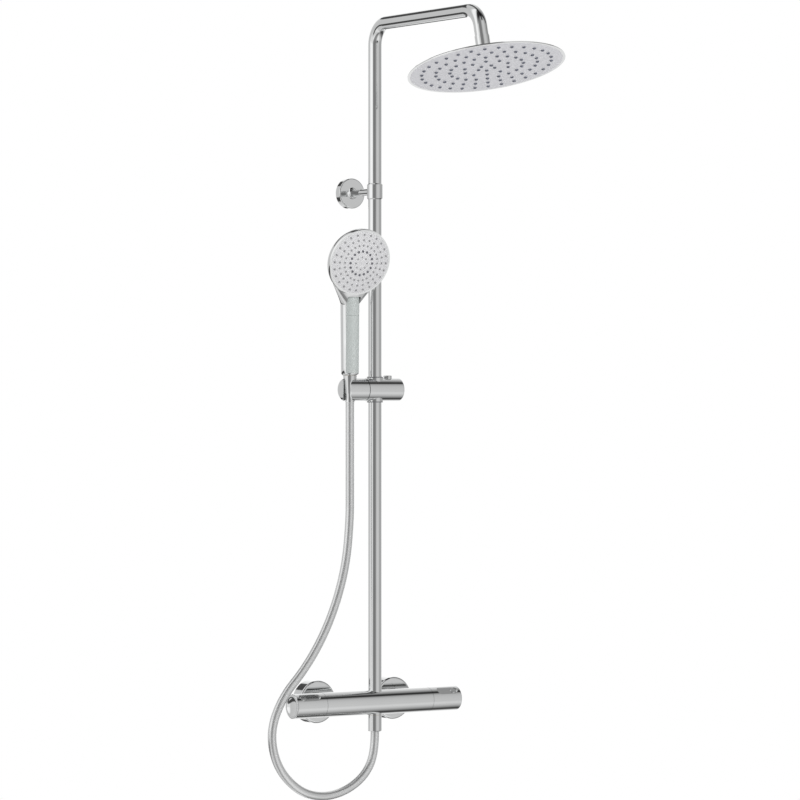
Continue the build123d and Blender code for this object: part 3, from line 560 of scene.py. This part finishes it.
def rise(value, low, high):
    """0 below low and 1 above high."""
    return room.add(
        "ShaderNodeMapRange",
        {"interpolation_type": "SMOOTHSTEP"},
        {"Value": value, "From Min": low, "From Max": high},
    )


def all_round(angle, *stops):
    """Brightness by angle, from pairs of degrees and strength. A ramp's 1 stands for the brightest."""
    brightest = max(value for degrees, value in stops)
    colours = [((degrees + 180) / 360, (value / brightest,) * 3) for degrees, value in stops]
    whole_turn = angle * (1 / (2 * pi)) + 0.5
    return room.add("ShaderNodeValToRGB", {"stops": colours}, {"Fac": whole_turn}) * brightest


across = along((1, 0, 0))
up = along((0, 0, 1))
steepness = up.math("ABSOLUTE", up)
bearing = up.math("ARCTAN2", along(camera_right), along(towards_camera))
over_the_bar = up.math("ARCTAN2", up, along((0, -1, 0)))
print("camera stands towards:", [round(part, 3) for part in towards_camera])

# %% Walls and window
low_walls = all_round(
    bearing, (-180, 1.15), (-158, 0.80), (-140, 0.66), (-96, 0.60), (-84, 0.84), (-40, 0.86),
    (-28, 0.23), (8, 0.21), (20, 0.46), (34, 0.66), (66, 0.66), (80, 0.48), (90, 0.42), (122, 0.43),
    (140, 0.55), (158, 0.85), (180, 1.15)
)
high_walls = all_round(
    bearing, (-180, 1.15), (-158, 0.80), (-140, 0.66), (-96, 0.60), (-82, 1.06), (-42, 1.10),
    (-28, 0.25), (8, 0.21), (20, 0.44), (34, 0.64), (66, 0.64), (80, 0.47), (90, 0.42), (122, 0.43),
    (140, 0.55), (158, 0.85), (180, 1.15)
)
above_eye = rise(up, -0.03, 0.02)
walls = low_walls + above_eye * (high_walls - low_walls)
print("shader nodes in the walls:", len(room.tree.nodes))

# %% Cards
card_darkness = 0.9
long_cards = all_round(
    over_the_bar, (-180, 1.0), (-150, 0.85), (-134, 0.70), (-120, 0.25), (-112, 0.10), (-97, 0.10),
    (-87, 0.50), (-73, 0.95), (-60, 1.30), (-40, 1.36), (-13, 1.06), (0, 1.0), (24, 1.0), (44, 1.0),
    (55, 0.75), (63, 0.08), (76, 0.08), (82, 0.36), (91, 0.72), (101, 0.77), (139, 0.76), (180, 1.0)
)
off_the_level = rise(steepness, 0.12, 0.45) * rise(bearing, radians(-75), radians(-25))
back = along((0, 1, 0))
high_card = rise(up, 0.46, 0.49) * rise(back, 0.66, 0.72) * rise(across - up * 0.35, 0.03, -0.03)
top_card = (
    rise(up, 0.64, 0.70) * rise(back, 0.70, 0.66) * rise(across, -0.05, 0.0) * rise(across, 0.36, 0.32)
)
low_card = rise(up, -0.21, -0.27) * rise(up, -0.51, -0.45) * rise(bearing, radians(-62), radians(-72))
lit = walls * (off_the_level * (long_cards - 1) + 1)
for card in (high_card, top_card, low_card):
    lit = lit * (1 - card * card_darkness)
print("shader nodes with the cards:", len(room.tree.nodes))

# %% Who sees the room
white_light = (1, 1, 1, 1)
even_strength = 0.66
studio = room.add("ShaderNodeBackground", {}, {"Color": white_light, "Strength": lit})
even = room.add("ShaderNodeBackground", {}, {"Color": white_light, "Strength": even_strength})
white = room.add("ShaderNodeBackground", {}, {"Color": white_light, "Strength": 1.0})
glossy = room.add("ShaderNodeLightPath", {}, {}, output="Is Glossy Ray")
camera_ray = room.add("ShaderNodeLightPath", {}, {}, output="Is Camera Ray")
reflected = room.add("ShaderNodeMixShader", {}, {0: glossy, 1: even, 2: studio})
seen = room.add("ShaderNodeMixShader", {}, {0: camera_ray, 1: reflected, 2: white})
room.add("ShaderNodeOutputWorld", {}, {"Surface": seen})
print("shader nodes in the room:", len(room.tree.nodes))

# %% [markdown]
# ## Floor and lamps
# The column hangs high on a wall, so the floor lies well below it and only carries a faint shadow.
# Its paper glows white to the camera and stays matt to everything else. From below it is clear, so
# that it never hides the column. Two soft square lamps, one high and one low, lift the plastics that
# the even light of the room leaves flat. The metal doesn't mirror the floor or the lamps.

# %% Floor
floor_size = 60
floor_height = -0.95
bpy.ops.mesh.primitive_plane_add(size=floor_size, location=(0, 0, floor_height))
floor = bpy.context.object
floor.name = "studio_floor"
floor.visible_glossy = False
paper = bpy.data.materials.new("white_paper")
sheet = Tree(paper)
matt = sheet.add("ShaderNodeBsdfDiffuse", {}, {"Color": (0.8, 0.8, 0.8, 1.0)})
glow = sheet.add("ShaderNodeEmission", {}, {"Color": white_light, "Strength": 1.0})
sees = sheet.add("ShaderNodeLightPath", {}, {})
cover = sheet.add("ShaderNodeMixShader", {}, {0: sees, 1: matt, 2: glow})
clear = sheet.add("ShaderNodeBsdfTransparent", {}, {})
underside = sheet.add("ShaderNodeNewGeometry", {}, {}, output="Backfacing")
one_sided = sheet.add("ShaderNodeMixShader", {}, {0: underside, 1: cover, 2: clear})
sheet.add("ShaderNodeOutputMaterial", {}, {"Surface": one_sided})
floor.data.materials.append(paper)
print("floor at:", floor_height)

# %% Lamps
column_middle = Vector((0, -0.1, 0.5))
lamp_size = 2.0
lamp_power = 50


def lamp(name, place):
    """Soft square lamp that points at the middle of the column."""
    light = bpy.data.lights.new(name, "AREA")
    light.size = lamp_size
    light.energy = lamp_power
    lamp_object = bpy.data.objects.new(name, light)
    lamp_object.location = place
    aim = column_middle - Vector(place)
    lamp_object.rotation_euler = aim.to_track_quat("-Z", "Y").to_euler()
    lamp_object.visible_glossy = False
    bpy.context.collection.objects.link(lamp_object)
    print(name, "stands off the column:", round(aim.length, 2))


lamp("key_lamp", (-2.5, -3.0, 2.4))
lamp("low_lamp", (1.0, -3.0, -0.4))

# %% [markdown]
# ## Camera
# The camera stands to the user's left of the column, level with its middle, and looks along the
# level so that upright tubes stay upright in the picture. A long lens from six metres keeps the
# column's near and far parts at nearly one scale.

# %% Camera
view_distance = 6.131
view_sideways = 0.0412
view_height = 0.4953
view_centre = Vector((0, column_y, view_height)) + camera_right * view_sideways
camera_data = bpy.data.cameras.new("camera")
camera_data.lens = 168.3
camera_data.sensor_width = 36.0
camera = bpy.data.objects.new("camera", camera_data)
camera.location = view_centre + towards_camera * view_distance
camera.rotation_euler = Euler((pi / 2, 0, -view_turn))
bpy.context.collection.objects.link(camera)
bpy.context.scene.camera = camera
bpy.context.scene.view_settings.view_transform = "Standard"
print("camera at:", [round(part, 3) for part in camera.location])
